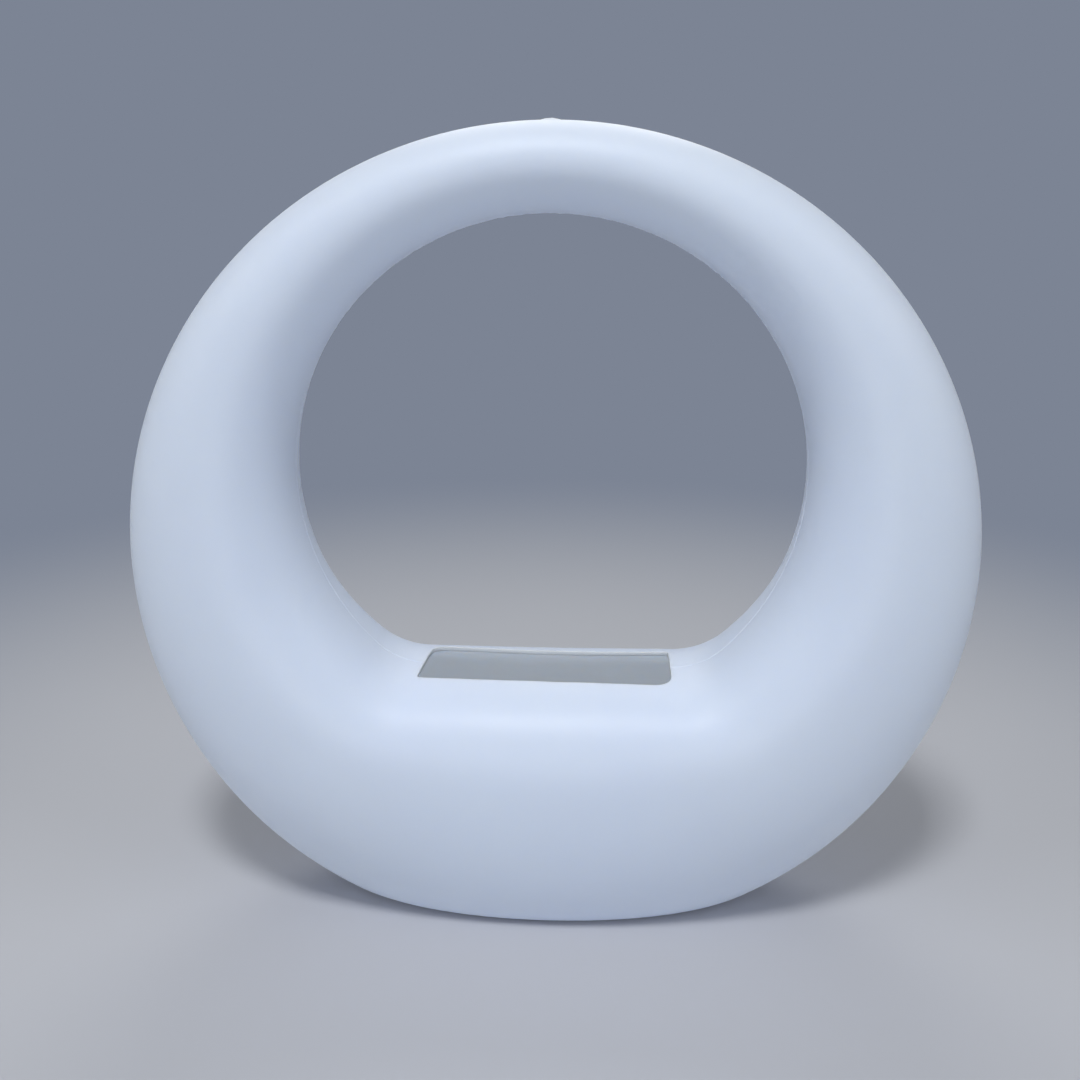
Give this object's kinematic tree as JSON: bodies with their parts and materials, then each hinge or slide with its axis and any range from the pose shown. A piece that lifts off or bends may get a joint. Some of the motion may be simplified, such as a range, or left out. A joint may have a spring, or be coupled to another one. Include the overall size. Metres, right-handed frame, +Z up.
{
  "type": "ring planter",
  "caption": "Free-standing hollow ring planter with a large round opening, a flat planting deck with a rectangular slot, and a plugged drain in its flat base.",
  "frame": {"origin": "centre of the bounding box's lower face, on the flat base", "axes": "+Z up, +X across the ring's width, +Y towards the back; the front faces -Y"},
  "size_m": [0.3, 0.081, 0.2809],
  "materials": {
    "shell": "satin-matte moulded white",
    "plug": "matte grey"
  },
  "bodies": {
    "planter": {"front_shell": "shell", "rear_shell": "shell"},
    "plug": {"drain_plug": "plug"}
  },
  "joints": [
    {"name": "plug_pull", "type": "slide", "parent": "planter", "child": "plug", "axis": [0, 0, -1], "range_m": [0, 0.015]}
  ]
}
